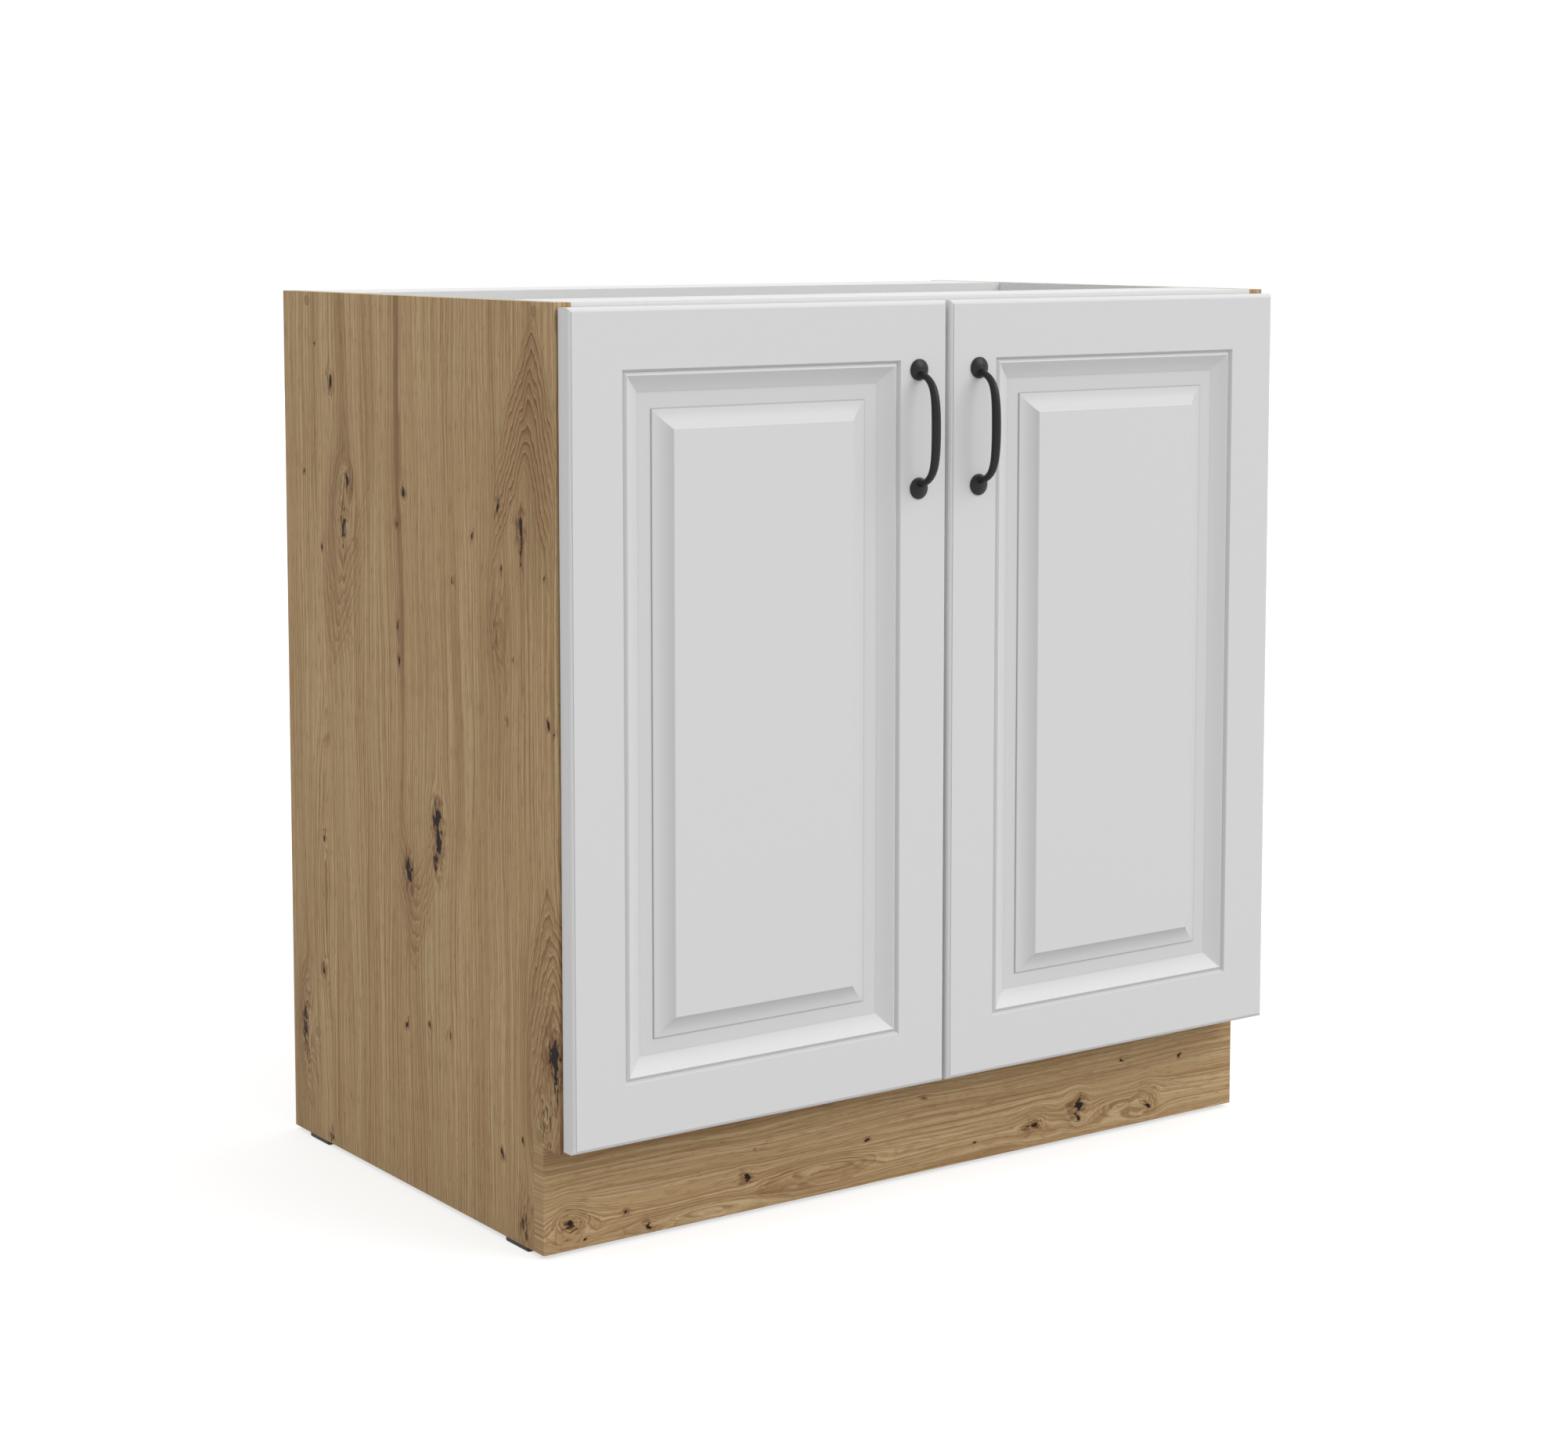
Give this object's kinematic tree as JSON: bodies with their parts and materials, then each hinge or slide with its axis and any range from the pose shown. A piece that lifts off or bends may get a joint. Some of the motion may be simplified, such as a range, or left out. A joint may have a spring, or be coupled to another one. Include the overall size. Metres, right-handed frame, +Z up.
{
  "type": "kitchen base cabinet",
  "caption": "Freestanding kitchen base cabinet with panelled white doors on concealed hinges, bow handles, an inner shelf and an oak-look body and plinth.",
  "frame": {"origin": "middle of the bounding box in X and Y, on the floor plane under the glides", "axes": "+X to the right when facing the doors, +Y from the doors to the back, +Z up"},
  "size_m": [0.8006, 0.5496, 0.82],
  "materials": {
    "oak_laminate": "matt printed knotty oak",
    "white_laminate": "matt white",
    "white_hardboard": "matt white",
    "white_foil_on_fibreboard": "matt white foil",
    "black_handle_finish": "matt black powder coat",
    "black_plastic": "matt black",
    "brown_plastic": "matt brown",
    "beech": "raw",
    "clear_rubber": "clear",
    "zinc_casting": "cast zinc",
    "nickel_plated_steel": "nickel plated"
  },
  "bodies": {
    "carcass": {"side_panel_left": "oak_laminate", "side_panel_right": "oak_laminate", "bottom_panel": "white_laminate", "front_rail": "white_laminate", "rear_rail": "white_laminate", "back_panel": "white_hardboard", "shelf": "white_laminate", "plinth": "oak_laminate", "rail_screws": "nickel_plated_steel", "screw_caps": "brown_plastic", "dowels": "beech", "cam_bolts": "nickel_plated_steel", "cam_housings": "zinc_casting", "shelf_supports": "nickel_plated_steel", "back_panel_pins": "nickel_plated_steel", "plinth_bracket_left": "black_plastic", "plinth_bracket_right": "black_plastic", "plinth_bracket_screws": "nickel_plated_steel", "glide_front_left": "black_plastic", "glide_back_left": "black_plastic", "glide_front_right": "black_plastic", "glide_back_right": "black_plastic", "hinge_plate_screws": "nickel_plated_steel", "hinge_arm_screws": "nickel_plated_steel", "hinge_arm_pins": "nickel_plated_steel", "hinge_plate_left_lower": "nickel_plated_steel", "hinge_arm_left_lower": "nickel_plated_steel", "hinge_plate_left_upper": "nickel_plated_steel", "hinge_arm_left_upper": "nickel_plated_steel", "hinge_plate_right_lower": "nickel_plated_steel", "hinge_arm_right_lower": "nickel_plated_steel", "hinge_plate_right_upper": "nickel_plated_steel", "hinge_arm_right_upper": "nickel_plated_steel"},
    "left_door": {"door_left": "white_foil_on_fibreboard", "handle_left": "black_handle_finish", "handle_screws_left": "nickel_plated_steel", "door_bumpers_left": "clear_rubber", "hinge_cup_left_lower": "nickel_plated_steel", "hinge_cup_left_upper": "nickel_plated_steel", "hinge_cup_screws_left": "nickel_plated_steel", "hinge_cup_pins_left": "nickel_plated_steel"},
    "left_outer_links": {"hinge_outer_link_left_lower": "nickel_plated_steel", "hinge_outer_link_left_upper": "nickel_plated_steel"},
    "left_inner_links": {"hinge_inner_link_left_lower": "nickel_plated_steel", "hinge_inner_link_left_upper": "nickel_plated_steel"},
    "right_door": {"door_right": "white_foil_on_fibreboard", "handle_right": "black_handle_finish", "handle_screws_right": "nickel_plated_steel", "door_bumpers_right": "clear_rubber", "hinge_cup_right_lower": "nickel_plated_steel", "hinge_cup_right_upper": "nickel_plated_steel", "hinge_cup_screws_right": "nickel_plated_steel", "hinge_cup_pins_right": "nickel_plated_steel"},
    "right_outer_links": {"hinge_outer_link_right_lower": "nickel_plated_steel", "hinge_outer_link_right_upper": "nickel_plated_steel"},
    "right_inner_links": {"hinge_inner_link_right_lower": "nickel_plated_steel", "hinge_inner_link_right_upper": "nickel_plated_steel"}
  },
  "joints": [
    {"name": "left_outer_link_turn", "type": "hinge", "parent": "carcass", "child": "left_outer_links", "pos_m": [-0.364, -0.2142, 0.4595], "axis": [0, 0, 1], "range_deg": [0, 22.53]},
    {"name": "left_door_swing", "type": "hinge", "parent": "left_outer_links", "child": "left_door", "pos_m": [-0.3888, -0.2321, 0.4595], "axis": [0, 0, -1], "range_deg": [0, 120.5]},
    {"name": "left_inner_link_turn", "type": "hinge", "parent": "left_door", "child": "left_inner_links", "pos_m": [-0.3876, -0.238, 0.4595], "axis": [0, 0, 1], "range_deg": [0, 104.8]},
    {"name": "right_outer_link_turn", "type": "hinge", "parent": "carcass", "child": "right_outer_links", "pos_m": [0.364, -0.2142, 0.4595], "axis": [0, 0, -1], "range_deg": [0, 22.53]},
    {"name": "right_door_swing", "type": "hinge", "parent": "right_outer_links", "child": "right_door", "pos_m": [0.3888, -0.2321, 0.4595], "axis": [0, 0, 1], "range_deg": [0, 120.5]},
    {"name": "right_inner_link_turn", "type": "hinge", "parent": "right_door", "child": "right_inner_links", "pos_m": [0.3876, -0.238, 0.4595], "axis": [0, 0, -1], "range_deg": [0, 104.8]}
  ],
  "couplings": [
    {"joint": "left_outer_link_turn", "follows": "left_door_swing", "ratio": 0.18692},
    {"joint": "left_inner_link_turn", "follows": "left_door_swing", "ratio": 0.8694},
    {"joint": "right_outer_link_turn", "follows": "right_door_swing", "ratio": 0.18692},
    {"joint": "right_inner_link_turn", "follows": "right_door_swing", "ratio": 0.8694}
  ]
}
